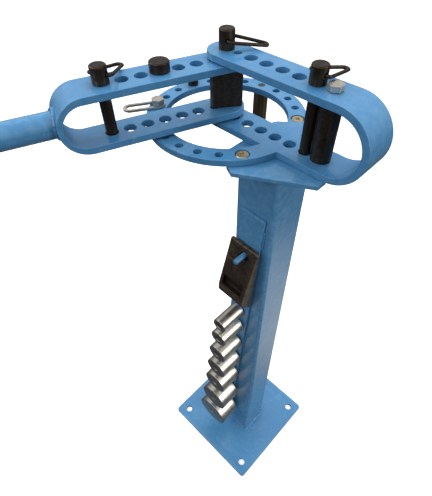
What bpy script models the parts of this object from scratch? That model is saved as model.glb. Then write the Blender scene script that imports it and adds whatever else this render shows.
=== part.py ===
"""Manual tube bender on a floor stand.

A drilled ring plate, bent up into a U, is bolted on a square post. A second U-shaped frame with a long
handle swings inside it about a pivot pin and pushes the work round a former. Loop pins, pegs, a slotted
gauge link and a rack of round dies complete the tool.

Frame: the origin is on the floor under the post's axis, +Z up. +X runs along the fixed frame, from the
pivot to the closed end of its U. Lengths in this file are millimetres; helpers turn them into metres.
"""

import math

import bmesh
import bpy
from mathutils import Matrix, Vector

MM = 0.001
GAP = 0.3                      # clearance between pieces that touch
INCH = 25.4

# Stand
BASE_SIZE = 235.0
BASE_THICK = 8.0
BASE_SHIFT = (-17.6, -4.2)     # centre of the plate from the post's axis
BASE_CORNER = 7.0
ANCHOR_SPACING = 188.0
ANCHOR_HOLE = 15.0
POST_SIZE = 2.5 * INCH
POST_WALL = 4.0
POST_CORNER = 6.0
TOP_PLATE_THICK = 6.0
TOP_PLATE_TURN = 29.0          # degrees from +X
TOP_PLATE_OUTLINE = (          # from the post's axis, before the turn; the long left side runs along Y
    (-38.5, -63.5), (53.0, -63.5), (60.0, -51.0), (60.0, 45.0), (53.0, 57.5), (9.5, 57.5),
    (5.0, 51.5), (-8.0, 50.0), (-13.4, 46.3), (-51.8, -23.0), (-46.5, -51.5))

# Fixed frame
PIVOT_X = -79.5
BAR_THICK = 8.0
FRAME_WIDTH = 43.0
FRAME_BOTTOM = 837.4
FRAME_HEIGHT = 83.4
FRAME_BEND_X = 73.8            # where the straight arms end
RING_OUTER = 97.3
RING_INNER = 74.8
RING_HOLES_RADIUS = 86.0
RING_HOLE = 9.5
RING_HOLE_STEP = 16.0
RING_HOLE_FIRST = 52.0
RING_HOLE_COUNT = 9            # on each side, the last one shared at 180 degrees
SCREW_ANGLE = 35.1
PIN_HOLE = 14.3
HOLE_PITCH = 20.6
FRAME_FIRST_HOLE = 34.2        # pivot to first large hole
SMALL_HOLE_AT = 15.5
RIGHT_HOLES = 5
GUSSET = ((52.5, 19.4), (74.5, 19.4), (69.5, 37.0))   # between ring and arm, from the pivot

# Swing frame
SWING_TURN = -110.7            # degrees from +X
SWING_BOTTOM = 849.0
SWING_HEIGHT = 62.6
SWING_WIDTH = 43.0
SWING_BEND_X = 163.2
SWING_BEND_THINNED = 2.0       # the bend's wall is this much thinner than the arms
SWING_FIRST_HOLE = 36.0
SWING_HOLES = 6
TUBE_RADIUS = 13.95
TUBE_WALL = 3.0
TUBE_LENGTH = 750.0

# Pins and bails
PIN_RADIUS = 6.5
LOOP_HEAD_RADIUS = 8.7
LOOP_HEAD_HEIGHT = 18.4
PIVOT_HEAD_HEIGHT = 20.5
CROSS_HOLE_RADIUS = 2.6
WIRE_RADIUS = 2.0
BAIL_HALF_WIDTH = 12.2
BAIL_TIP_RADIUS = 4.0
PIVOT_BAIL = (50.0, 45.0, 8.5)   # direction in degrees, reach, drop of the tip
FRAME_BAIL = (81.0, 41.0, 7.0)
SWING_BAIL = (118.0, 45.0, 9.0)
PLAIN_HEAD_RADIUS = 11.0
PLAIN_HEAD_HEIGHT = 10.8
SPACER_RADIUS = 11.0
SPACER_X = 56.7
BOLT_RADIUS = 4.5
BOLT_FLATS = 14.3
BOLT_HEAD = 6.2

# Pivot pieces
FORMER_RADIUS = 0.75 * INCH
FORMER_FLAT = 8.6              # flat's distance from the axis
FORMER_FLAT_TURN = -36.0       # direction the flat faces
WASHER_RADIUS = 15.0

# Ring accessories
STOP_PEG_ANGLE = 164.0
STOP_PEG_RADIUS = 7.0
STOP_PEG_HEIGHT = 30.0
HANGING_PEG_ANGLE = 100.0
HANGING_PEG_RADIUS = 9.8
HANGING_PEG_LENGTH = 80.0
GAUGE_ANGLE = -148.0
GAUGE_TURN = -120.5
GAUGE_WIDTH = 17.0
GAUGE_SLOT = 10.0
GAUGE_REACH = 43.3             # bolt to the link's outer end
GAUGE_WALL = 4.0
GAUGE_THICK = 3.0

# Rack
RACK_LEAN = 3.3                # degrees the strip leans sideways
RACK_TOP = 753.0
RACK_TOP_X = 2.0
RACK_WIDTH = 38.1
RACK_LENGTH = 678.0
RACK_THICK = 4.8
PEG_RADIUS = 4.0
PEG_LENGTH = 42.0
COLLAR_RADIUS = 8.0
COLLAR_THICK = 2.7
DIE_SIZES = (1.0, 1.25, 1.5, 1.75, 2.0, 2.5, 3.0)      # inches
DIE_DROPS = (216.5, 44.5, 60.0, 64.5, 70.0, 91.0, 93.5)  # rack top to peg 1, then peg to peg
DIE_LENGTH = 46.0
DIE_BORE = 13.5
BLOCK_PEG_DROP = 68.0
BLOCK_PEG_LENGTH = 28.5
BLOCK_PEG_ASIDE = 2.5
BLOCK_WIDTH = 48.4
BLOCK_PROFILE = ((0.0, 0.0), (4.5, 0.0), (24.5, -88.0), (24.5, -104.0), (0.0, -135.0))  # out, up
BLOCK_TOP_DROP = 55.0
BLOCK_ASIDE = -1.0
BLOCK_POCKET = (36.0, 20.0, 9.0)   # wide, tall, deep
BLOCK_POCKET_AT = 76.0         # down from the block's top

BLUE = (0.13, 0.36, 0.62)
DEEP_BLUE = (0.08, 0.24, 0.50)
BLACKENED = (0.045, 0.033, 0.027)
ZINC = (0.72, 0.68, 0.60)
STEEL = (0.60, 0.58, 0.53)

FRAME_TOP = FRAME_BOTTOM + FRAME_HEIGHT
LOWER_ARM_TOP = FRAME_BOTTOM + BAR_THICK
SWING_TOP = SWING_BOTTOM + SWING_HEIGHT
SWING_FLOOR = SWING_BOTTOM + BAR_THICK
SWING_CEILING = SWING_TOP - BAR_THICK
TOP_PLATE_TOP = FRAME_BOTTOM - GAP
TOP_PLATE_BOTTOM = TOP_PLATE_TOP - TOP_PLATE_THICK
POST_FACE = -POST_SIZE / 2
RACK_FACE = POST_FACE - GAP - RACK_THICK
PEG_ROOT = RACK_FACE - GAP
DIE_BACK = PEG_ROOT - COLLAR_THICK - GAP


def clear_scene():
    for item in list(bpy.data.objects):
        bpy.data.objects.remove(item, do_unlink=True)
    for group in list(bpy.data.collections):
        bpy.data.collections.remove(group)


def new_collection(name):
    group = bpy.data.collections.new(name)
    bpy.context.scene.collection.children.link(group)
    return group


def make_material(name, colour, roughness, metallic):
    material = bpy.data.materials.new(name)
    material.use_nodes = True
    shader = material.node_tree.nodes["Principled BSDF"]
    shader.inputs["Base Color"].default_value = (*colour, 1.0)
    shader.inputs["Roughness"].default_value = roughness
    shader.inputs["Metallic"].default_value = metallic
    return material


def circle(radius, count, x=0.0, y=0.0):
    """Points of a regular polygon whose flats lie on the circle's inside."""
    step = math.tau / count
    return [(x + radius * math.cos(i * step), y + radius * math.sin(i * step)) for i in range(count)]


def arc(radius, start, stop, count, x=0.0, y=0.0):
    """count + 1 points from start to stop, angles in degrees."""
    points = []
    for i in range(count + 1):
        angle = math.radians(start + (stop - start) * i / count)
        points.append((x + radius * math.cos(angle), y + radius * math.sin(angle)))
    return points


def rounded_box(width, depth, radius, count, x=0.0, y=0.0):
    points = []
    for turn, side_x, side_y in ((0, 1, 1), (90, -1, 1), (180, -1, -1), (270, 1, -1)):
        corner_x = x + side_x * (width / 2 - radius)
        corner_y = y + side_y * (depth / 2 - radius)
        points += arc(radius, turn, turn + 90, count, corner_x, corner_y)
    return points


def polar(radius, degrees):
    angle = math.radians(degrees)
    return PIVOT_X + radius * math.cos(angle), radius * math.sin(angle)


def mesh_of_curve(curve):
    """The curve's surface as a welded mesh; the curve itself is removed."""
    holder = bpy.data.objects.new(curve.name + "_curve", curve)
    bpy.context.scene.collection.objects.link(holder)
    bpy.context.view_layer.update()
    evaluated = holder.evaluated_get(bpy.context.evaluated_depsgraph_get())
    mesh = bpy.data.meshes.new_from_object(evaluated)
    mesh.name = curve.name
    bpy.data.objects.remove(holder, do_unlink=True)
    bpy.data.curves.remove(curve)
    shape = bmesh.new()
    shape.from_mesh(mesh)
    bmesh.ops.remove_doubles(shape, verts=shape.verts, dist=1e-6)
    bmesh.ops.recalc_face_normals(shape, faces=shape.faces)
    shape.to_mesh(mesh)
    shape.free()
    mesh.materials.clear()
    return mesh


def outline_solid(name, loops, thickness):
    """A flat outline with holes, as a 2D curve, extruded evenly about its own plane."""
    curve = bpy.data.curves.new(name, "CURVE")
    curve.dimensions = "2D"
    curve.fill_mode = "BOTH"
    curve.extrude = thickness * MM / 2
    for loop in loops:
        spline = curve.splines.new("POLY")
        spline.points.add(len(loop) - 1)
        for point, (x, y) in zip(spline.points, loop):
            point.co = (x * MM, y * MM, 0.0, 1.0)
        spline.use_cyclic_u = True
    return mesh_of_curve(curve)


def shift_mesh(mesh, matrix):
    mesh.transform(matrix)
    mesh.update()


def place(mesh, name, group, material, location=(0, 0, 0), turn=0.0):
    item = bpy.data.objects.new(name, mesh)
    if material:
        mesh.materials.append(material)
    item.location = Vector(location) * MM
    item.rotation_euler[2] = math.radians(turn)
    group.objects.link(item)
    return item


def attach(child, parent):
    """Parents a piece and keeps it where it is in the world."""
    bpy.context.view_layer.update()
    child.parent = parent
    child.matrix_parent_inverse = parent.matrix_world.inverted()


def cylinder_into(shape, radius, low, high, x=0.0, y=0.0, sides=24, along="Z", top_radius=None):
    """Adds a closed cylinder or cone to a bmesh; low and high are its ends along the axis."""
    turn = Matrix.Identity(4)
    centre = Vector((x, y, (low + high) / 2))
    if along == "Y":
        turn = Matrix.Rotation(math.radians(-90), 4, "X")
        centre = Vector((x, (low + high) / 2, y))
    if along == "X":
        turn = Matrix.Rotation(math.radians(90), 4, "Y")
        centre = Vector(((low + high) / 2, x, y))
    end = radius if top_radius is None else top_radius
    bmesh.ops.create_cone(
        shape, cap_ends=True, segments=sides, radius1=radius * MM, radius2=end * MM,
        depth=(high - low) * MM, matrix=Matrix.Translation(centre * MM) @ turn)


def mesh_from(name, fill):
    """Runs fill(bmesh) and returns the mesh it made."""
    shape = bmesh.new()
    fill(shape)
    mesh = bpy.data.meshes.new(name)
    shape.to_mesh(mesh)
    shape.free()
    return mesh


def cut(item, mesh, operation="DIFFERENCE"):
    """A Boolean on item; the operand is a wire-display cutter at the same place."""
    tool = bpy.data.objects.new("%s_%s" % (item.name, operation.lower()), mesh)
    tool.location = item.location
    tool.rotation_euler = item.rotation_euler
    tool.hide_render = True
    tool.display_type = "WIRE"
    CUTTERS.objects.link(tool)
    modifier = item.modifiers.new(operation.title(), "BOOLEAN")
    modifier.operation = operation
    modifier.solver = "EXACT"
    modifier.object = tool


def add_turned(name, profile, sides, group, material, location):
    """A turned solid about Z: profile runs (radius, height) from the axis at the top to the axis below."""
    mesh = bpy.data.meshes.new(name)
    points = [(radius * MM, 0.0, height * MM) for radius, height in profile]
    mesh.from_pydata(points, [(i, i + 1) for i in range(len(points) - 1)], [])
    item = place(mesh, name, group, material, location)
    screw = item.modifiers.new("Turn", "SCREW")
    screw.steps = sides
    screw.render_steps = sides
    screw.use_merge_vertices = True
    screw.merge_threshold = 1e-6
    screw.use_smooth_shade = True
    return item


def shade(item, degrees=35.0):
    item.data.shade_smooth()
    item.data.set_sharp_from_angle(angle=math.radians(degrees))


def add_base():
    loops = [rounded_box(BASE_SIZE, BASE_SIZE, BASE_CORNER, 4)]
    half = ANCHOR_SPACING / 2
    for x in (-half, half):
        for y in (-half, half):
            loops.append(circle(ANCHOR_HOLE / 2, 24, x, y))
    mesh = outline_solid("base_plate", loops, BASE_THICK)
    place(mesh, "base_plate", PARTS, PAINT, (*BASE_SHIFT, BASE_THICK / 2))


def add_post():
    bottom = BASE_THICK + GAP
    top = TOP_PLATE_BOTTOM - GAP
    inside = POST_SIZE - 2 * POST_WALL
    loops = [rounded_box(POST_SIZE, POST_SIZE, POST_CORNER, 4),
             rounded_box(inside, inside, POST_CORNER - POST_WALL, 2)]
    mesh = outline_solid("post", loops, top - bottom)
    place(mesh, "post", PARTS, PAINT, (0, 0, (top + bottom) / 2))


def add_top_plate():
    turn = math.radians(TOP_PLATE_TURN)
    loops = [list(TOP_PLATE_OUTLINE)]
    for side in (1, -1):
        screw_x, screw_y = polar(RING_HOLES_RADIUS, side * SCREW_ANGLE)
        x = screw_x * math.cos(turn) + screw_y * math.sin(turn)
        y = -screw_x * math.sin(turn) + screw_y * math.cos(turn)
        loops.append(circle(BOLT_RADIUS + GAP, 16, x, y))
    mesh = outline_solid("top_plate", loops, TOP_PLATE_THICK)
    place(mesh, "top_plate", PARTS, PAINT, (0, 0, TOP_PLATE_TOP - TOP_PLATE_THICK / 2), TOP_PLATE_TURN)


def bent_bar(name, height, bend_x, width, thinned=0.0):
    """A flat bar bent to a U about +X, its open end at the origin and its underside at z = 0."""
    outer = height / 2
    inner = outer - BAR_THICK
    loop = [(0.0, 0.0)]
    loop += arc(outer, -90, 90, 24, bend_x, outer)
    loop += [(0.0, height), (0.0, height - BAR_THICK)]
    loop += arc(inner, 90, -90, 24, bend_x + thinned, outer)
    loop += [(0.0, BAR_THICK)]
    mesh = outline_solid(name, [loop], width)
    shift_mesh(mesh, Matrix.Rotation(math.radians(90), 4, "X"))
    return mesh


def arm_ends(name, height, width):
    """The round ends of both arms, about the pivot."""
    def fill(shape):
        cylinder_into(shape, width / 2, 0.0, BAR_THICK, sides=48)
        cylinder_into(shape, width / 2, height - BAR_THICK, height, sides=48)
    return mesh_from(name, fill)


def arm_holes(name, height, spacings):
    """Cutters for the holes that go through both arms; spacings are (x, diameter) pairs."""
    def fill(shape):
        for x, size in spacings:
            cylinder_into(shape, size / 2, -5.0, height + 5.0, x, 0.0, 24)
    return mesh_from(name, fill)


def add_main_frame():
    item = place(bent_bar("main_frame", FRAME_HEIGHT, FRAME_BEND_X - PIVOT_X, FRAME_WIDTH),
                 "main_frame", PARTS, PAINT, (PIVOT_X, 0, FRAME_BOTTOM))
    cut(item, arm_ends("main_frame_ends", FRAME_HEIGHT, FRAME_WIDTH), "UNION")

    ring = outline_solid("main_frame_ring", [circle(RING_OUTER, 96), circle(RING_INNER, 96)], BAR_THICK)
    shift_mesh(ring, Matrix.Translation((0, 0, BAR_THICK / 2 * MM)))
    cut(item, ring, "UNION")

    gusset = outline_solid("main_frame_gusset", [list(GUSSET)], BAR_THICK)
    shift_mesh(gusset, Matrix.Translation((0, 0, BAR_THICK / 2 * MM)))
    cut(item, gusset, "UNION")

    spacings = [(0.0, PIN_HOLE), (SMALL_HOLE_AT, RING_HOLE), (SPACER_X - PIVOT_X, 2 * BOLT_RADIUS + 0.6)]
    spacings += [(FRAME_FIRST_HOLE + i * HOLE_PITCH, PIN_HOLE) for i in range(RIGHT_HOLES)]
    cut(item, arm_holes("main_frame_arm_holes", FRAME_HEIGHT, spacings))

    def recesses(shape):
        for side in (1, -1):
            angle = math.radians(side * SCREW_ANGLE)
            x = RING_HOLES_RADIUS * math.cos(angle)
            y = RING_HOLES_RADIUS * math.sin(angle)
            cylinder_into(shape, 8.2, 3.0, BAR_THICK + 1.0, x, y, 24)
        cylinder_into(shape, 8.9, -1.0, 4.8, SPACER_X - PIVOT_X, 0.0, 28, "Z", 4.6)
    cut(item, mesh_from("main_frame_recesses", recesses))

    def ring_holes(shape):
        for i in range(RING_HOLE_COUNT):
            for side in (1, -1) if i < RING_HOLE_COUNT - 1 else (1,):
                angle = math.radians(side * (RING_HOLE_FIRST + i * RING_HOLE_STEP))
                x = RING_HOLES_RADIUS * math.cos(angle)
                y = RING_HOLES_RADIUS * math.sin(angle)
                cylinder_into(shape, RING_HOLE / 2, -5.0, BAR_THICK + 5.0, x, y, 16)
        for side in (1, -1):
            angle = math.radians(side * SCREW_ANGLE)
            x = RING_HOLES_RADIUS * math.cos(angle)
            y = RING_HOLES_RADIUS * math.sin(angle)
            cylinder_into(shape, BOLT_RADIUS + GAP, -5.0, BAR_THICK + 5.0, x, y, 24)
    cut(item, mesh_from("main_frame_ring_holes", ring_holes))
    return item


def add_hex_bolt(name, x, y, seat, length):
    """A hex bolt standing on seat with its shank hanging below."""
    def fill_head(shape):
        cylinder_into(shape, BOLT_FLATS / math.sqrt(3), seat + GAP, seat + GAP + BOLT_HEAD, sides=6)

    def fill_shank(shape):
        cylinder_into(shape, BOLT_RADIUS - 0.2, seat - length, seat + GAP + 2.0, sides=20)
    item = place(mesh_from(name, fill_head), name, PARTS, HARDWARE, (x, y, 0))
    cut(item, mesh_from(name + "_shank", fill_shank), "UNION")
    return item


def add_nut(name, x, y, low, height=5.5):
    loops = [circle(BOLT_FLATS / math.sqrt(3), 6), circle(BOLT_RADIUS + 0.2, 20)]
    mesh = outline_solid(name, loops, height)
    return place(mesh, name, PARTS, HARDWARE, (x, y, low + height / 2))


def add_plate_screws():
    """Countersunk screws through the ring and the top plate, each with a nut below."""
    for name, side in (("back", 1), ("front", -1)):
        x, y = polar(RING_HOLES_RADIUS, side * SCREW_ANGLE)
        top = LOWER_ARM_TOP - 0.6
        seat = FRAME_BOTTOM + 3.0 + GAP
        low = TOP_PLATE_BOTTOM - 9.0
        profile = [(0, top), (6.4, top), (7.6, top - 1.0), (7.6, seat + 1.2), (6.0, seat),
                   (BOLT_RADIUS - 0.2, seat), (BOLT_RADIUS - 0.2, low + 1), (BOLT_RADIUS - 1.2, low), (0, low)]
        item = add_turned("plate_screw_" + name, profile, 28, PARTS, YELLOW_ZINC, (x, y, 0))

        def cross(shape):
            for turn in (0, 90):
                matrix = Matrix.Translation((0, 0, top * MM)) @ Matrix.Rotation(math.radians(turn), 4, "Z")
                matrix = matrix @ Matrix.Diagonal((7.0 * MM, 1.6 * MM, 3.6 * MM, 1.0))
                bmesh.ops.create_cube(shape, size=1.0, matrix=matrix)
        recess = mesh_from("plate_screw_cross", cross)
        cut(item, recess)
        item.modifiers[-1].use_self = True
        add_nut("plate_nut_" + name, x, y, TOP_PLATE_BOTTOM - GAP - 5.5)


def add_spacer():
    low = LOWER_ARM_TOP + GAP
    high = FRAME_TOP - BAR_THICK - GAP
    loops = [circle(SPACER_RADIUS, 40), circle(BOLT_RADIUS + 0.3, 20)]
    mesh = outline_solid("spacer_post", loops, high - low)
    place(mesh, "spacer_post", PARTS, BLACK, (SPACER_X, 0, (low + high) / 2))
    add_hex_bolt("spacer_bolt", SPACER_X, 0, FRAME_TOP, 30.0)
    seat = FRAME_BOTTOM + 0.4
    profile = [(0, seat + 34.0), (BOLT_RADIUS - 0.2, seat + 34.0), (BOLT_RADIUS - 0.2, seat + 3.6),
               (7.2, seat), (0, seat)]
    add_turned("spacer_screw", profile, 28, PARTS, HARDWARE, (SPACER_X, 0, 0))


def add_ring_pegs():
    """A stop peg on the ring and a peg hanging under it, each with a shank in a ring hole."""
    shank = RING_HOLE / 2 - GAP
    x, y = polar(RING_HOLES_RADIUS, STOP_PEG_ANGLE)
    low = LOWER_ARM_TOP + GAP
    high = low + STOP_PEG_HEIGHT
    radius = STOP_PEG_RADIUS
    profile = [(0, high), (radius - 1, high), (radius, high - 1), (radius, low), (shank, low),
               (shank, FRAME_BOTTOM + 1.0), (0, FRAME_BOTTOM + 1.0)]
    stop = add_turned("stop_peg", profile, 32, PARTS, BLACK, (x, y, 0))

    x, y = polar(RING_HOLES_RADIUS, HANGING_PEG_ANGLE)
    high = FRAME_BOTTOM - GAP
    low = high - HANGING_PEG_LENGTH
    radius = HANGING_PEG_RADIUS
    profile = [(0, LOWER_ARM_TOP - 1.0), (shank, LOWER_ARM_TOP - 1.0), (shank, high), (radius, high),
               (radius, low + 1), (radius - 1, low), (0, low)]
    add_turned("hanging_peg", profile, 32, PARTS, BLACK, (x, y, 0))
    return stop


def stadium(radius, start, stop, count=10):
    """A slot outline along +X between two end centres."""
    return arc(radius, 90, 270, count, start) + arc(radius, -90, 90, count, stop)


def add_gauge():
    """A slotted link held on the ring by a hex bolt at the inner end of its slot."""
    x, y = polar(RING_HOLES_RADIUS, GAUGE_ANGLE)
    low = LOWER_ARM_TOP + GAP
    outer = GAUGE_REACH - GAUGE_WIDTH / 2
    outline = stadium(GAUGE_WIDTH / 2, -0.7, outer)
    slot = stadium(GAUGE_SLOT / 2, 0.0, GAUGE_REACH - GAUGE_WALL - GAUGE_SLOT / 2)
    mesh = outline_solid("gauge_link", [outline, slot], GAUGE_THICK)
    link = place(mesh, "gauge_link", PARTS, HARDWARE, (x, y, low + GAUGE_THICK / 2), GAUGE_TURN)
    bolt = add_hex_bolt("gauge_bolt", x, y, low + GAUGE_THICK, 20.0)
    nut = add_nut("gauge_nut", x, y, FRAME_BOTTOM - GAP - 5.5)
    attach(link, bolt)
    attach(nut, bolt)


def add_pivot_pieces():
    low = LOWER_ARM_TOP + GAP
    high = SWING_BOTTOM - GAP
    loops = [circle(WASHER_RADIUS, 40), circle(PIN_RADIUS + 0.6, 24)]
    mesh = outline_solid("pivot_washer", loops, high - low)
    place(mesh, "pivot_washer", PARTS, BLACK, (PIVOT_X, 0, (low + high) / 2))

    low = SWING_FLOOR + GAP
    high = SWING_CEILING - GAP
    half = math.degrees(math.acos(FORMER_FLAT / FORMER_RADIUS))
    outline = arc(FORMER_RADIUS, half, 360 - half, 40)
    loops = [outline, circle(PIN_RADIUS + 0.6, 24)]
    mesh = outline_solid("centre_former", loops, high - low)
    place(mesh, "centre_former", PARTS, BLACK, (PIVOT_X, 0, (low + high) / 2), FORMER_FLAT_TURN)


def add_swing_frame():
    item = place(bent_bar("swing_frame", SWING_HEIGHT, SWING_BEND_X, SWING_WIDTH, SWING_BEND_THINNED),
                 "swing_frame", PARTS, PAINT, (PIVOT_X, 0, SWING_BOTTOM), SWING_TURN)
    cut(item, arm_ends("swing_frame_ends", SWING_HEIGHT, SWING_WIDTH), "UNION")
    spacings = [(0.0, PIN_HOLE), (SMALL_HOLE_AT, RING_HOLE)]
    spacings += [(SWING_FIRST_HOLE + i * HOLE_PITCH, PIN_HOLE) for i in range(SWING_HOLES)]
    cut(item, arm_holes("swing_frame_holes", SWING_HEIGHT, spacings))

    closed_end = SWING_BEND_X + SWING_HEIGHT / 2
    loops = [circle(TUBE_RADIUS, 32), circle(TUBE_RADIUS - TUBE_WALL, 24)]
    mesh = outline_solid("handle_tube", loops, TUBE_LENGTH)
    shift_mesh(mesh, Matrix.Translation(((closed_end - 6.0 + TUBE_LENGTH / 2) * MM, 0, 0))
               @ Matrix.Rotation(math.radians(90), 4, "Y"))
    tube = place(mesh, "handle_tube", PARTS, PAINT, (PIVOT_X, 0, SWING_BOTTOM + SWING_HEIGHT / 2), SWING_TURN)

    def saddle(shape):
        cylinder_into(shape, SWING_HEIGHT / 2 + GAP, -40.0, 40.0, SWING_BEND_X, 0.0, 96, "Y")
    cut(tube, mesh_from("handle_tube_saddle", saddle))
    attach(tube, item)
    return item


def swing_point(distance):
    angle = math.radians(SWING_TURN)
    return PIVOT_X + distance * math.cos(angle), distance * math.sin(angle)


def add_pin(name, x, y, seat, head_radius, head_height, tip):
    """A pin hanging by its head on seat."""
    low = seat + GAP
    high = low + head_height
    profile = [(0, high), (head_radius - 1, high), (head_radius, high - 1), (head_radius, low),
               (PIN_RADIUS, low), (PIN_RADIUS, tip + 1), (PIN_RADIUS - 1, tip), (0, tip)]
    return add_turned(name, profile, 32, PARTS, BLACK, (x, y, 0))


def bail_route(reach, drop):
    """The wire's centre line, open inside the head: out of the cross hole, round the loop and back in."""
    flat = [Vector((0.0, 1.2))]
    flat += [Vector(p) for p in arc(2.5, 180, 78, 4, 2.5, BAIL_HALF_WIDTH - 2.5)]
    flat += [Vector(p) for p in arc(BAIL_TIP_RADIUS, 78, 0, 5, reach - BAIL_TIP_RADIUS, 0.0)]
    flat += [Vector((p.x, -p.y)) for p in reversed(flat[:-1])]
    fall = math.asin(drop / reach)
    return [Vector((p.x * math.cos(fall), p.y, -p.x * math.sin(fall))) for p in flat]


def wire_mesh(name, route):
    """A round wire along a centre line with closed ends."""
    curve = bpy.data.curves.new(name, "CURVE")
    curve.dimensions = "3D"
    curve.bevel_depth = WIRE_RADIUS * MM
    curve.bevel_resolution = 2
    curve.use_fill_caps = True
    spline = curve.splines.new("POLY")
    spline.points.add(len(route) - 1)
    for point, spot in zip(spline.points, route):
        point.co = (*(spot * MM), 1.0)
    return mesh_of_curve(curve)


def add_loop_pin(name, x, y, seat, head_height, tip, cross_up, bail):
    """A pin with a wire bail through its head; bail is the direction, reach and drop of the loop."""
    turn, reach, drop = bail
    pin = add_pin(name, x, y, seat, LOOP_HEAD_RADIUS, head_height, tip)
    height = seat + GAP + cross_up

    def cross(shape):
        cylinder_into(shape, CROSS_HOLE_RADIUS, -15.0, 15.0, 0.0, height, 20, "Y")
    pin.rotation_euler[2] = math.radians(turn)
    cut(pin, mesh_from(name + "_cross", cross))
    mesh = wire_mesh(name + "_bail", bail_route(reach, drop))
    wire = place(mesh, name.replace("pin", "bail"), PARTS, BLACK, (x, y, height), turn)
    attach(wire, pin)
    return pin


def rack_point(drop, aside=0.0):
    """A point on the strip, drop below its top and aside from its centre line."""
    lean = math.radians(RACK_LEAN)
    x = RACK_TOP_X - drop * math.sin(lean) + aside * math.cos(lean)
    return x, RACK_TOP - drop * math.cos(lean) - aside * math.sin(lean)


def add_rack():
    lean = math.radians(RACK_LEAN)
    mesh = outline_solid("rack_strip", [rounded_box(RACK_WIDTH, RACK_LENGTH, 1.0, 1)], RACK_THICK)
    shift_mesh(mesh, Matrix.Rotation(lean, 4, "Y") @ Matrix.Rotation(math.radians(90), 4, "X"))
    x, z = rack_point(RACK_LENGTH / 2)
    place(mesh, "rack_strip", PARTS, PAINT, (x, RACK_FACE + RACK_THICK / 2, z))


def add_peg(name, drop, length, aside=0.0):
    """A round peg on the strip with a thin collar at its root."""
    x, z = rack_point(drop, aside)
    profile = [(0, length), (PEG_RADIUS - 0.8, length), (PEG_RADIUS, length - 0.8), (PEG_RADIUS, COLLAR_THICK),
               (COLLAR_RADIUS, COLLAR_THICK), (COLLAR_RADIUS, 0), (0, 0)]
    item = add_turned(name, profile, 20, PARTS, PAINT, (x, PEG_ROOT, z))
    item.rotation_euler[0] = math.radians(90)
    return x, z


def add_dies():
    """Seven round dies, each hanging on its own peg by its bore."""
    hang = DIE_BORE / 2 - PEG_RADIUS - GAP
    drop = 0.0
    for number, (size, step) in enumerate(zip(DIE_SIZES, DIE_DROPS), 1):
        drop += step
        x, z = add_peg("die_peg_%d" % number, drop, PEG_LENGTH)
        loops = [circle(size * INCH / 2, 48), circle(DIE_BORE / 2, 24)]
        mesh = outline_solid("die_%d" % number, loops, DIE_LENGTH)
        shift_mesh(mesh, Matrix.Rotation(math.radians(90), 4, "X"))
        item = place(mesh, "die_%d" % number, PARTS, BRIGHT, (x, DIE_BACK - DIE_LENGTH / 2, z - hang))
        shade(item)


def add_angle_block():
    """A wedge-shaped block with a pocket in its sloping face, hanging on the top peg."""
    peg_x, peg_z = add_peg("block_peg", BLOCK_PEG_DROP, BLOCK_PEG_LENGTH, BLOCK_PEG_ASIDE)
    lean = Matrix.Rotation(math.radians(RACK_LEAN), 4, "Y")
    x, z = rack_point(BLOCK_TOP_DROP, BLOCK_ASIDE)
    mesh = outline_solid("angle_block", [list(BLOCK_PROFILE)], BLOCK_WIDTH)
    upright = Matrix(((0, 0, 1, 0), (-1, 0, 0, 0), (0, 1, 0, 0), (0, 0, 0, 1)))
    shift_mesh(mesh, lean @ upright)
    block = place(mesh, "angle_block", PARTS, BROWNED, (x, DIE_BACK, z))

    rise = (BLOCK_PROFILE[2][0] - BLOCK_PROFILE[1][0]) / -BLOCK_PROFILE[2][1]
    out = BLOCK_PROFILE[1][0] + BLOCK_POCKET_AT * rise
    wide, tall, deep = BLOCK_POCKET

    def pocket(shape):
        matrix = Matrix.Translation(Vector((0, -out, -BLOCK_POCKET_AT)) * MM)
        matrix = lean @ matrix @ Matrix.Rotation(-math.atan(rise), 4, "X")
        matrix = matrix @ Matrix.Diagonal((wide * MM, 2 * deep * MM, tall * MM, 1.0))
        bmesh.ops.create_cube(shape, size=1.0, matrix=matrix)
    cut(block, mesh_from("angle_block_pocket", pocket))

    def bores(shape):
        hang = DIE_BORE / 2 - PEG_RADIUS - GAP
        cylinder_into(shape, DIE_BORE / 2, -60.0, 20.0, peg_x - x, peg_z - z - hang, 24, "Y")
    cut(block, mesh_from("angle_block_bore", bores))


clear_scene()
PARTS = new_collection("tube_bender")
CUTTERS = new_collection("cutters")
PAINT = make_material("blue_paint", BLUE, 0.30, 0.0)
BLACK = make_material("blackened_steel", BLACKENED, 0.38, 0.85)
BROWNED = make_material("browned_steel", BLACKENED, 0.42, 0.6)
BRIGHT = make_material("turned_steel", STEEL, 0.35, 1.0)
HARDWARE = make_material("zinc_plate", ZINC, 0.33, 1.0)
YELLOW_ZINC = make_material("yellow_zinc", (0.75, 0.60, 0.34), 0.33, 1.0)

add_base()
add_post()
add_top_plate()
add_main_frame()
add_plate_screws()
add_spacer()
add_ring_pegs()
add_gauge()
add_pivot_pieces()
swing = add_swing_frame()
add_rack()
add_dies()
add_angle_block()

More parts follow.
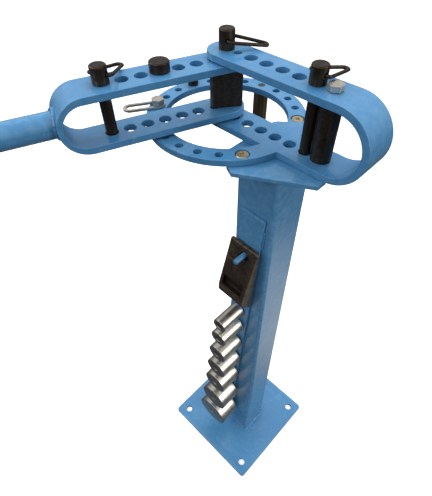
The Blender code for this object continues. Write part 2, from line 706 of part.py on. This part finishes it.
add_loop_pin("pivot_pin", PIVOT_X, 0, FRAME_TOP, PIVOT_HEAD_HEIGHT, FRAME_BOTTOM - 7.4, 10.0, PIVOT_BAIL)
frame_pin_x = PIVOT_X + FRAME_FIRST_HOLE + 4 * HOLE_PITCH
add_loop_pin("frame_pin", frame_pin_x, 0, FRAME_TOP, LOOP_HEAD_HEIGHT, FRAME_BOTTOM + 2.0, 9.8, FRAME_BAIL)
x, y = swing_point(SWING_FIRST_HOLE + 5 * HOLE_PITCH)
swing_pin = add_loop_pin("swing_pin", x, y, SWING_TOP, LOOP_HEAD_HEIGHT, SWING_BOTTOM - 7.0, 9.0, SWING_BAIL)
x, y = swing_point(SWING_FIRST_HOLE + 2 * HOLE_PITCH)
headed_pin = add_pin("headed_pin", x, y, SWING_TOP, PLAIN_HEAD_RADIUS, PLAIN_HEAD_HEIGHT, SWING_CEILING - 3.0)
for piece in (swing_pin, headed_pin):
    attach(piece, swing)
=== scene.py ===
"""Manual tube bender: finishes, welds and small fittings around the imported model."""

import math

import bmesh
import bpy
from mathutils import Matrix, Vector


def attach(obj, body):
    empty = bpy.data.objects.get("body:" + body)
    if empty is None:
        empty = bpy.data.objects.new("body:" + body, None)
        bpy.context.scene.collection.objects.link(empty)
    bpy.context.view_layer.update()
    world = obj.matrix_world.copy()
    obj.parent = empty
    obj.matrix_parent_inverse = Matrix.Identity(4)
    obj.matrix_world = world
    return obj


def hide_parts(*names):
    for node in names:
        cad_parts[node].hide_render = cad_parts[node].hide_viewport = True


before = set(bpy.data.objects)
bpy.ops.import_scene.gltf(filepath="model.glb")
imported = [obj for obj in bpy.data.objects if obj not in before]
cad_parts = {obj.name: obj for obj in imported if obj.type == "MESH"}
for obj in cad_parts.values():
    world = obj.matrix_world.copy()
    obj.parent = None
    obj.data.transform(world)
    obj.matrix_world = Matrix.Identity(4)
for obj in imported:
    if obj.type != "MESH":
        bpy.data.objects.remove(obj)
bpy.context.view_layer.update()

# The tool as built, in metres.
PIVOT = Vector((-0.0795, 0.0, 0.0))
POST_HALF = 0.03175
POST_TOP = 0.8308
BASE_TOP = 0.008
SWING_TURN = math.radians(-110.7)
SWING_ALONG = Vector((math.cos(SWING_TURN), math.sin(SWING_TURN), 0.0))
SWING_ACROSS = Vector((-SWING_ALONG.y, SWING_ALONG.x, 0.0))
SWING_MIDDLE = 0.8803
BEND_CENTRE = 0.1632           # pivot to the centre of the swing frame's bend
BEND_RADIUS = 0.0313
TUBE_RADIUS = 0.01395
RACK_LEAN = math.radians(3.3)
RACK_TOP = Vector((0.002, -0.0326, 0.753))
STRIP_HALF = 0.01905
DIE_COUNT = 7
WELD_PROUD = 0.0006            # a bead's centre line, out from the metal beside it

MERGE_GAP = 2e-6               # points closer than this are one
SLIVER = 2e-5                  # edges shorter than this are closed up
FLAT_WITHIN = math.radians(0.6)


# ---------------------------------------------------------------- materials

class Finish:
    """A node material under construction, on the piece's own object coordinates."""

    def __init__(self, name):
        self.material = bpy.data.materials.new(name)
        self.material.use_nodes = True
        self.tree = self.material.node_tree
        self.shader = self.tree.nodes["Principled BSDF"]
        self.place = self.tree.nodes.new("ShaderNodeTexCoord")

    def node(self, kind, **values):
        made = self.tree.nodes.new(kind)
        for key, value in values.items():
            setattr(made, key, value)
        return made

    def link(self, source, target):
        self.tree.links.new(source, target)

    def stretched(self, scale, turn=(0.0, 0.0, 0.0)):
        """Object coordinates, turned and scaled along each axis."""
        mapping = self.node("ShaderNodeMapping")
        mapping.inputs["Scale"].default_value = scale
        mapping.inputs["Rotation"].default_value = turn
        self.link(self.place.outputs["Object"], mapping.inputs["Vector"])
        return mapping.outputs["Vector"]

    def noise(self, scale, detail=2.0, vector=None, rough=0.5):
        made = self.node("ShaderNodeTexNoise")
        made.inputs["Scale"].default_value = scale
        made.inputs["Detail"].default_value = detail
        made.inputs["Roughness"].default_value = rough
        self.link(vector or self.place.outputs["Object"], made.inputs["Vector"])
        return made.outputs["Fac"]

    def ramp(self, value, *stops):
        """stops are (position, value or colour) pairs."""
        made = self.node("ShaderNodeValToRGB")
        while len(made.color_ramp.elements) < len(stops):
            made.color_ramp.elements.new(0.5)
        for element, (position, colour) in zip(made.color_ramp.elements, stops):
            element.position = position
            if not isinstance(colour, tuple):
                colour = (colour, colour, colour)
            element.color = (*colour, 1.0)
        self.link(value, made.inputs["Fac"])
        return made.outputs["Color"]

    def blend(self, factor, first, second):
        """first and second are sockets or colours; factor is a socket or a number."""
        made = self.node("ShaderNodeMix", data_type="RGBA")
        for socket, value in ((made.inputs[0], factor), (made.inputs[6], first), (made.inputs[7], second)):
            if isinstance(value, tuple):
                socket.default_value = (*value, 1.0)
            elif isinstance(value, float):
                socket.default_value = value
            else:
                self.link(value, socket)
        return made.outputs[2]

    def maths(self, operation, first, second):
        """first and second are sockets or numbers."""
        made = self.node("ShaderNodeMath", operation=operation)
        for socket, value in ((made.inputs[0], first), (made.inputs[1], second)):
            if isinstance(value, float):
                socket.default_value = value
            else:
                self.link(value, socket)
        return made.outputs[0]

    def edges(self, low, high):
        """Nearly white on convex edges, black elsewhere."""
        geometry = self.node("ShaderNodeNewGeometry")
        return self.ramp(geometry.outputs["Pointiness"], (low, 0.0), (high, 1.0))

    def bump(self, height, strength, distance, under=None):
        made = self.node("ShaderNodeBump")
        made.inputs["Strength"].default_value = strength
        made.inputs["Distance"].default_value = distance
        self.link(height, made.inputs["Height"])
        if under:
            self.link(under, made.inputs["Normal"])
        return made.outputs["Normal"]

    def finish(self, colour, roughness, normal, metallic=0.0, coat=0.0, coat_rough=0.1, specular=0.5):
        """Links the three varying inputs, sets the even ones and returns the material."""
        self.link(colour, self.shader.inputs["Base Color"])
        self.link(roughness, self.shader.inputs["Roughness"])
        self.link(normal, self.shader.inputs["Normal"])
        self.shader.inputs["Metallic"].default_value = metallic
        self.shader.inputs["Coat Weight"].default_value = coat
        self.shader.inputs["Coat Roughness"].default_value = coat_rough
        self.shader.inputs["Specular IOR Level"].default_value = specular
        return self.material


def blue_paint(name):
    """Semi-gloss enamel: slow tone drift, orange peel, a few scuffs, and lighter edges, partly paint wear
    and partly a painted highlight.
    """
    f = Finish(name)
    drift = f.ramp(f.noise(7.0, 3.0), (0.30, (0.044, 0.182, 0.375)), (0.72, (0.060, 0.222, 0.432)))
    dust = f.ramp(f.noise(55.0, 5.0, rough=0.65), (0.50, 0.0), (0.80, 0.16))
    colour = f.blend(dust, drift, (0.22, 0.40, 0.53))
    patchy = f.ramp(f.noise(140.0, 4.0), (0.42, 0.30), (0.62, 0.85))
    # Convex edges lightened: partly wear on the paint, partly a painted highlight along the edges.
    rubbed_and_highlit = f.maths("MULTIPLY", f.edges(0.53, 0.66), patchy)
    colour = f.blend(rubbed_and_highlit, colour, (0.30, 0.54, 0.70))
    specks = f.ramp(f.noise(420.0, 2.0, rough=0.4), (0.745, 0.0), (0.765, 1.0))
    specks = f.maths("MULTIPLY", specks, f.ramp(f.noise(16.0, 2.0), (0.50, 0.0), (0.60, 1.0)))
    colour = f.blend(specks, colour, (0.025, 0.050, 0.090))
    rough = f.ramp(f.noise(34.0, 5.0, rough=0.6), (0.32, 0.18), (0.70, 0.30))
    peel = f.bump(f.noise(900.0, 2.0), 0.05, 0.0004)
    sag = f.bump(f.noise(38.0, 1.0), 0.05, 0.0015, peel)
    chips = f.bump(specks, -0.25, 0.0003, sag)
    return f.finish(colour, rough, chips, coat=0.25, coat_rough=0.14, specular=0.45)


def black_oxide(name, dark, middle, light):
    """Blackened turned steel with a brown cast and fine turning lines round its own axis."""
    f = Finish(name)
    streaks = f.noise(1.0, 4.0, f.stretched((260.0, 260.0, 22.0)), 0.6)
    colour = f.ramp(streaks, (0.25, dark), (0.55, middle), (0.85, light))
    lighter_edges = f.maths("MULTIPLY", f.edges(0.54, 0.66), f.ramp(f.noise(300.0, 3.0), (0.40, 0.0), (0.65, 0.8)))
    colour = f.blend(lighter_edges, colour, (0.34, 0.27, 0.20))
    rough = f.ramp(f.noise(160.0, 4.0), (0.30, 0.30), (0.75, 0.48))
    lines = f.noise(1.0, 2.0, f.stretched((30.0, 30.0, 2600.0)))
    normal = f.bump(lines, 0.14, 0.0002)
    normal = f.bump(f.noise(700.0, 2.0), 0.10, 0.0002, normal)
    return f.finish(colour, rough, normal, metallic=0.88, specular=0.4)


def turned_steel(name):
    """Bright turned steel: lathe lines round Y, tan on the end faces, faint brown oil film."""
    f = Finish(name)
    streaks = f.noise(1.0, 3.0, f.stretched((40.0, 1400.0, 40.0)), 0.6)
    bright = f.ramp(streaks, (0.25, (0.46, 0.435, 0.38)), (0.75, (0.62, 0.60, 0.54)))
    film = f.ramp(f.noise(48.0, 4.0, rough=0.6), (0.48, 0.0), (0.74, 0.50))
    colour = f.blend(film, bright, (0.36, 0.285, 0.185))
    split = f.node("ShaderNodeSeparateXYZ")
    f.link(f.place.outputs["Normal"], split.inputs["Vector"])
    # End faces, picked out by their normal along Y, are coloured tan.
    ends = f.ramp(f.maths("ABSOLUTE", split.outputs["Y"], 0.0), (0.80, 0.0), (0.95, 0.55))
    colour = f.blend(ends, colour, (0.47, 0.375, 0.235))
    lighter_edges = f.edges(0.54, 0.64)
    colour = f.blend(lighter_edges, colour, (0.82, 0.80, 0.74))
    rough = f.ramp(f.noise(120.0, 4.0), (0.30, 0.26), (0.72, 0.42))
    normal = f.bump(streaks, 0.20, 0.00025)
    normal = f.bump(f.noise(500.0, 2.0), 0.05, 0.0002, normal)
    return f.finish(colour, rough, normal, metallic=1.0)


def zinc_plate(name, pale, deep, stain):
    """Zinc-plated hardware with cloudy passivation."""
    f = Finish(name)
    clouds = f.ramp(f.noise(150.0, 4.0, rough=0.6), (0.28, deep), (0.72, pale))
    patches = f.ramp(f.noise(60.0, 3.0), (0.50, 0.0), (0.78, 0.6))
    colour = f.blend(patches, clouds, stain)
    rough = f.ramp(f.noise(240.0, 4.0), (0.30, 0.26), (0.72, 0.46))
    normal = f.bump(f.noise(1100.0, 3.0), 0.16, 0.0003)
    return f.finish(colour, rough, normal, metallic=0.92)


def browned_block(name):
    """Machined block with a dark brown finish, its edges lighter: partly bright wear, partly a painted
    highlight.
    """
    f = Finish(name)
    clouds = f.ramp(f.noise(60.0, 5.0, rough=0.6),
                    (0.28, (0.014, 0.010, 0.008)), (0.74, (0.046, 0.031, 0.021)))
    strokes = f.noise(1.0, 2.0, f.stretched((60.0, 900.0, 60.0), (0.0, 0.5, 0.3)))
    scratches = f.ramp(strokes, (0.66, 0.0), (0.76, 0.5))
    colour = f.blend(scratches, clouds, (0.20, 0.155, 0.12))
    # Edges lightened golden: partly bright wear, partly a painted highlight.
    lighter_edges = f.maths("MULTIPLY", f.edges(0.53, 0.63), f.ramp(f.noise(180.0, 3.0), (0.35, 0.25), (0.60, 1.0)))
    colour = f.blend(lighter_edges, colour, (0.40, 0.31, 0.19))
    rough = f.ramp(f.noise(110.0, 4.0), (0.30, 0.34), (0.72, 0.54))
    normal = f.bump(f.noise(420.0, 4.0), 0.18, 0.0004)
    return f.finish(colour, rough, normal, metallic=0.65)


PAINT = blue_paint("blue_enamel")
BLACK = black_oxide("black_oxide",
                    (0.030, 0.021, 0.016), (0.050, 0.035, 0.025), (0.095, 0.066, 0.042))
# A lighter, warmer copy of the black oxide; on the hanging peg its brown-gold is a painted warm
# reflection.
WARM_REFLECTION_OXIDE = black_oxide("black_oxide_warm_reflection",
                    (0.085, 0.056, 0.027), (0.150, 0.104, 0.050), (0.240, 0.170, 0.085))
TURNED = turned_steel("turned_steel")
ZINC = zinc_plate("bright_zinc",
                  (0.72, 0.69, 0.62), (0.50, 0.47, 0.41), (0.56, 0.47, 0.33))
YELLOW = zinc_plate("yellow_zinc",
                    (0.72, 0.60, 0.38), (0.50, 0.41, 0.24), (0.55, 0.52, 0.50))
BROWNED = browned_block("browned_block")


# ---------------------------------------------------------------- modelling helpers

def choose(piece):
    """Selects only this piece and makes it active."""
    for item in bpy.context.selected_objects:
        item.select_set(False)
    bpy.context.view_layer.objects.active = piece
    piece.select_set(True)


def apply_all(piece):
    """Applies the piece's modifiers in order."""
    choose(piece)
    for modifier in list(piece.modifiers):
        bpy.ops.object.modifier_apply(modifier=modifier.name)


def dress(piece, material, body, *nodes):
    """Gives a finished piece its material, its body and the nodes it stands for."""
    piece.data.materials.clear()
    piece.data.materials.append(material)
    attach(piece, body)
    if nodes:
        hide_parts(*nodes)
    return piece


def copy_of(node, name):
    """A merged copy of a node's mesh, without slivers, its flat faces made whole."""
    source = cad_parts[node]
    piece = bpy.data.objects.new(name, source.data.copy())
    bpy.context.scene.collection.objects.link(piece)
    choose(piece)
    bpy.ops.object.mode_set(mode="EDIT")
    bpy.ops.mesh.select_all(action="SELECT")
    bpy.ops.mesh.remove_doubles(threshold=MERGE_GAP)
    bpy.ops.object.mode_set(mode="OBJECT")      # the merge is stored before flat faces are joined
    bpy.ops.object.mode_set(mode="EDIT")
    bpy.ops.mesh.select_all(action="SELECT")
    bpy.ops.mesh.dissolve_degenerate(threshold=SLIVER)
    bpy.ops.mesh.dissolve_limited(angle_limit=FLAT_WITHIN)
    bpy.ops.object.mode_set(mode="OBJECT")
    return piece


def bevelled(node, name, width, material, body, angle=32.0):
    """A node finished with broken edges and smooth curved faces."""
    piece = copy_of(node, name)
    choose(piece)
    bpy.ops.object.shade_smooth()
    bevel = piece.modifiers.new("edges", "BEVEL")
    bevel.width = width
    bevel.segments = 2
    bevel.limit_method = "ANGLE"
    bevel.angle_limit = math.radians(angle)
    bevel.use_clamp_overlap = False
    bevel.miter_outer = "MITER_ARC"
    flats = piece.modifiers.new("flats", "WEIGHTED_NORMAL")
    flats.mode = "FACE_AREA"
    flats.weight = 90
    apply_all(piece)
    return dress(piece, material, body, node)


def weld(name, points, radius, body, spacing=0.0021, closed=False):
    """A painted bead: overlapping ripples laid along a path and fused into one skin."""
    path = list(points) + ([points[0]] if closed else [])
    places = []
    carried = 0.0
    for start, end in zip(path, path[1:]):
        run = (end - start).length
        step = carried
        while step < run:
            places.append((start + (end - start) * (step / run), (end - start).normalized()))
            step += spacing
        carried = step - run
    bpy.ops.mesh.primitive_uv_sphere_add(segments=14, ring_count=8, radius=1.0)
    piece = bpy.context.object
    piece.name = name
    made = bmesh.new()
    for count, (spot, along) in enumerate(places):
        size = radius * (1.0 + 0.07 * math.sin(count * 2.4))
        turn = along.to_track_quat("X", "Z").to_matrix().to_4x4()
        shape = Matrix.Diagonal((size * 0.80, size, size, 1.0))
        start = len(made.verts)
        made.from_mesh(piece.data)
        made.verts.ensure_lookup_table()
        place = Matrix.Translation(spot) @ turn @ shape
        for vertex in made.verts[start:]:
            vertex.co = place @ vertex.co
    made.to_mesh(piece.data)
    made.free()
    choose(piece)
    skin = piece.modifiers.new("skin", "REMESH")
    skin.mode = "VOXEL"
    skin.voxel_size = radius * 0.231
    skin.use_smooth_shade = True
    apply_all(piece)
    return dress(piece, PAINT, body)


# ---------------------------------------------------------------- painted steelwork

bevelled("base_plate", "base_plate_painted", 0.0008, PAINT, "stand")
bevelled("post", "post_painted", 0.0004, PAINT, "stand", angle=40.0)
bevelled("top_plate", "top_plate_painted", 0.0009, PAINT, "stand")
bevelled("main_frame", "main_frame_painted", 0.0007, PAINT, "stand")
bevelled("swing_frame", "swing_frame_painted", 0.0007, PAINT, "swing")
bevelled("handle_tube", "handle_tube_painted", 0.0003, PAINT, "swing", angle=50.0)
bevelled("rack_strip", "rack_strip_painted", 0.0008, PAINT, "stand")
bevelled("block_peg", "block_peg_painted", 0.0003, PAINT, "stand")
for number in range(1, DIE_COUNT + 1):
    bevelled("die_peg_%d" % number, "die_peg_%d_painted" % number, 0.0003, PAINT, "stand")

# ---------------------------------------------------------------- welds

def round_post(height):
    """The post's four corners at a height, a little outside its faces."""
    reach = POST_HALF + WELD_PROUD
    return [Vector((x * reach, y * reach, height)) for x, y in ((-1, -1), (1, -1), (1, 1), (-1, 1))]


weld("post_foot_weld", round_post(BASE_TOP + 0.0004), 0.0030, "stand", closed=True)
weld("post_head_weld", round_post(POST_TOP - 0.0010), 0.0022, "stand", closed=True)


def beside_strip(drop, side):
    """A point in the corner between the strip's long edge and the post."""
    along = Vector((-math.sin(RACK_LEAN), 0.0, -math.cos(RACK_LEAN)))
    across = Vector((math.cos(RACK_LEAN), 0.0, -math.sin(RACK_LEAN)))
    return RACK_TOP + along * drop + across * side * (STRIP_HALF + 0.0005)


# Side of the strip, then where the bead starts and ends below the strip's top.
STRIP_WELDS = ((1, 0.022, 0.052), (1, 0.318, 0.350), (1, 0.618, 0.652),
               (-1, 0.030, 0.058), (-1, 0.168, 0.194))
for count, (side, start, end) in enumerate(STRIP_WELDS, 1):
    weld("strip_weld_%d" % count, [beside_strip(start, side), beside_strip(end, side)], 0.0021, "stand")


def round_handle(count):
    """Points round the handle tube where it meets the swing frame's curved end."""
    points = []
    for step in range(count):
        angle = math.tau * step / count
        across = (TUBE_RADIUS + WELD_PROUD) * math.cos(angle)
        rise = (TUBE_RADIUS + WELD_PROUD) * math.sin(angle)
        reach = BEND_CENTRE + math.sqrt(BEND_RADIUS ** 2 - rise ** 2) + 0.0004
        points.append(PIVOT + SWING_ALONG * reach + SWING_ACROSS * across
                      + Vector((0, 0, SWING_MIDDLE + rise)))
    return points


weld("handle_weld", round_handle(28), 0.0026, "swing", closed=True, spacing=0.0019)

# ---------------------------------------------------------------- pins, dies and fittings

for node, body in (("pivot_pin", "pivot_pin"), ("frame_pin", "frame_pin"), ("swing_pin", "swing_pin"),
                   ("headed_pin", "headed_pin"), ("stop_peg", "stop_peg"),
                   ("centre_former", "former"), ("pivot_washer", "stand"), ("spacer_post", "stand")):
    bevelled(node, node + "_blackened", 0.0004, BLACK, body)
# The hanging peg gets the warmer copy, whose colour is a painted warm reflection.
bevelled("hanging_peg", "hanging_peg_warm_reflection", 0.0004, WARM_REFLECTION_OXIDE, "stand")
for number in range(1, DIE_COUNT + 1):
    bevelled("die_%d" % number, "die_%d_turned" % number, 0.0009, TURNED, "die_%d" % number)
bevelled("angle_block", "angle_block_browned", 0.0009, BROWNED, "angle_block")
for node, body in (("spacer_bolt", "stand"), ("spacer_screw", "stand"), ("plate_nut_back", "stand"),
                   ("plate_nut_front", "stand"), ("gauge_bolt", "gauge_bolt"), ("gauge_nut", "gauge_bolt"),
                   ("gauge_link", "gauge_link")):
    bevelled(node, node + "_plated", 0.0005, ZINC, body)
for node in ("plate_screw_back", "plate_screw_front"):
    bevelled(node, node + "_plated", 0.0003, YELLOW, "stand")

for node in ("pivot_bail", "frame_bail", "swing_bail"):
    wire = copy_of(node, node + "_wire")
    smooth = wire.modifiers.new("smooth", "SUBSURF")
    smooth.levels = smooth.render_levels = 2
    apply_all(wire)
    bpy.ops.object.shade_smooth()
    dress(wire, BLACK, node, node)

# ---------------------------------------------------------------- camera, floor and light

VIEW_FROM = Vector((0.2258, -0.3280, 1.0982))
VIEW_TURN = math.radians(44.48)
VIEW_DOWN = math.radians(48.352)
VIEW_ROLL = math.radians(0.547)
SENSOR = 36.0
LENS = 0.8082661 * SENSOR
SHIFT = (-0.0032056, 0.0046169)

camera_data = bpy.data.cameras.new("camera")
camera_data.lens = LENS
camera_data.sensor_width = SENSOR
camera_data.shift_x, camera_data.shift_y = SHIFT
camera_data.clip_start = 0.01
camera = bpy.data.objects.new("camera", camera_data)
level = math.cos(VIEW_DOWN)
back = Vector((math.sin(VIEW_TURN) * level, -math.cos(VIEW_TURN) * level, math.sin(VIEW_DOWN)))
right = (-back).cross(Vector((0, 0, 1))).normalized()
up = right.cross(-back)
turned_right = right * math.cos(VIEW_ROLL) - up * math.sin(VIEW_ROLL)
turned_up = right * math.sin(VIEW_ROLL) + up * math.cos(VIEW_ROLL)
facing = Matrix((turned_right, turned_up, back)).transposed().to_4x4()
camera.matrix_world = Matrix.Translation(VIEW_FROM) @ facing
bpy.context.scene.collection.objects.link(camera)
bpy.context.scene.camera = camera

bpy.ops.mesh.primitive_plane_add(size=40.0, location=(0, 0, -0.0005))
floor = bpy.context.object
floor.name = "floor"
floor.visible_diffuse = False
floor.visible_glossy = False
pale = Finish("pale_floor")
tone = pale.ramp(pale.noise(0.6, 2.0), (0.3, (0.93, 0.93, 0.93)), (0.7, (0.97, 0.97, 0.97)))
floor.data.materials.append(pale.finish(tone, pale.ramp(pale.noise(3.0), (0.2, 0.85), (0.8, 0.95)),
                                        pale.bump(pale.noise(300.0), 0.02, 0.001), specular=0.1))
pale.shader.inputs["Emission Color"].default_value = (1.0, 1.0, 1.0, 1.0)
pale.shader.inputs["Emission Strength"].default_value = 0.45


def softbox(name, place, aim, size, power, colour=(1.0, 1.0, 1.0)):
    """A rectangular area light at place, facing aim."""
    light = bpy.data.lights.new(name, "AREA")
    light.shape = "RECTANGLE"
    light.size, light.size_y = size
    light.energy = power
    light.color = colour
    lamp = bpy.data.objects.new(name, light)
    lamp.location = place
    lamp.rotation_euler = (Vector(aim) - Vector(place)).to_track_quat("-Z", "Y").to_euler()
    bpy.context.scene.collection.objects.link(lamp)
    return lamp


overhead = softbox("overhead", (-0.3, 0.7, 2.2), (-0.1, 0.0, 0.8), (1.7, 1.3), 24.0)
overhead.visible_glossy = False
softbox("right_side", (2.4, 0.8, 1.3), (0.0, 0.0, 0.6), (0.7, 1.6), 26.0, (1.0, 0.97, 0.92))
softbox("left_side", (-2.0, -1.0, 2.3), (-0.1, -0.1, 0.9), (1.0, 1.2), 16.0, (0.94, 0.97, 1.0))
softbox("front_top", (-0.2, -2.0, 2.2), (-0.2, -0.3, 0.8), (1.8, 0.5), 16.0)

world = bpy.data.worlds.new("studio")
world.use_nodes = True
bpy.context.scene.world = world
sky = world.node_tree
backdrop = sky.nodes["Background"]
direction = sky.nodes.new("ShaderNodeTexCoord")
height = sky.nodes.new("ShaderNodeSeparateXYZ")
gradient = sky.nodes.new("ShaderNodeValToRGB")
spread = sky.nodes.new("ShaderNodeMapRange")
spread.inputs["From Min"].default_value = -1.0
sky.links.new(direction.outputs["Generated"], height.inputs["Vector"])
sky.links.new(height.outputs["Z"], spread.inputs["Value"])
sky.links.new(spread.outputs["Result"], gradient.inputs["Fac"])
tones = gradient.color_ramp.elements
tones[0].position, tones[0].color = 0.0, (0.08, 0.09, 0.12, 1.0)
tones[1].position, tones[1].color = 0.74, (0.80, 0.81, 0.82, 1.0)
middle = tones.new(0.40)
middle.color = (0.10, 0.11, 0.14, 1.0)

# A pale strip low on the far side, seen only as a sheen on the post's right face.
band = sky.nodes.new("ShaderNodeValToRGB")
band.color_ramp.elements[0].position, band.color_ramp.elements[0].color = 0.035, (0.0, 0.0, 0.0, 1.0)
band.color_ramp.elements[1].position, band.color_ramp.elements[1].color = 0.16, (0.0, 0.0, 0.0, 1.0)
for position in (0.065, 0.11):
    band.color_ramp.elements.new(position).color = (1.0, 1.0, 1.0, 1.0)
sky.links.new(spread.outputs["Result"], band.inputs["Fac"])
far = sky.nodes.new("ShaderNodeMapRange")
far.inputs["From Min"].default_value = 0.15
far.inputs["From Max"].default_value = 0.40
sky.links.new(height.outputs["Y"], far.inputs["Value"])
both = sky.nodes.new("ShaderNodeMath")
both.operation = "MULTIPLY"
sky.links.new(band.outputs["Color"], both.inputs[0])
sky.links.new(far.outputs["Result"], both.inputs[1])
lit = sky.nodes.new("ShaderNodeMix")
lit.data_type = "RGBA"
sky.links.new(both.outputs[0], lit.inputs[0])
sky.links.new(gradient.outputs["Color"], lit.inputs[6])
lit.inputs[7].default_value = (0.85, 0.84, 0.80, 1.0)
sky.links.new(lit.outputs[2], backdrop.inputs["Color"])
backdrop.inputs["Strength"].default_value = 0.85

bpy.context.scene.view_settings.view_transform = "Standard"
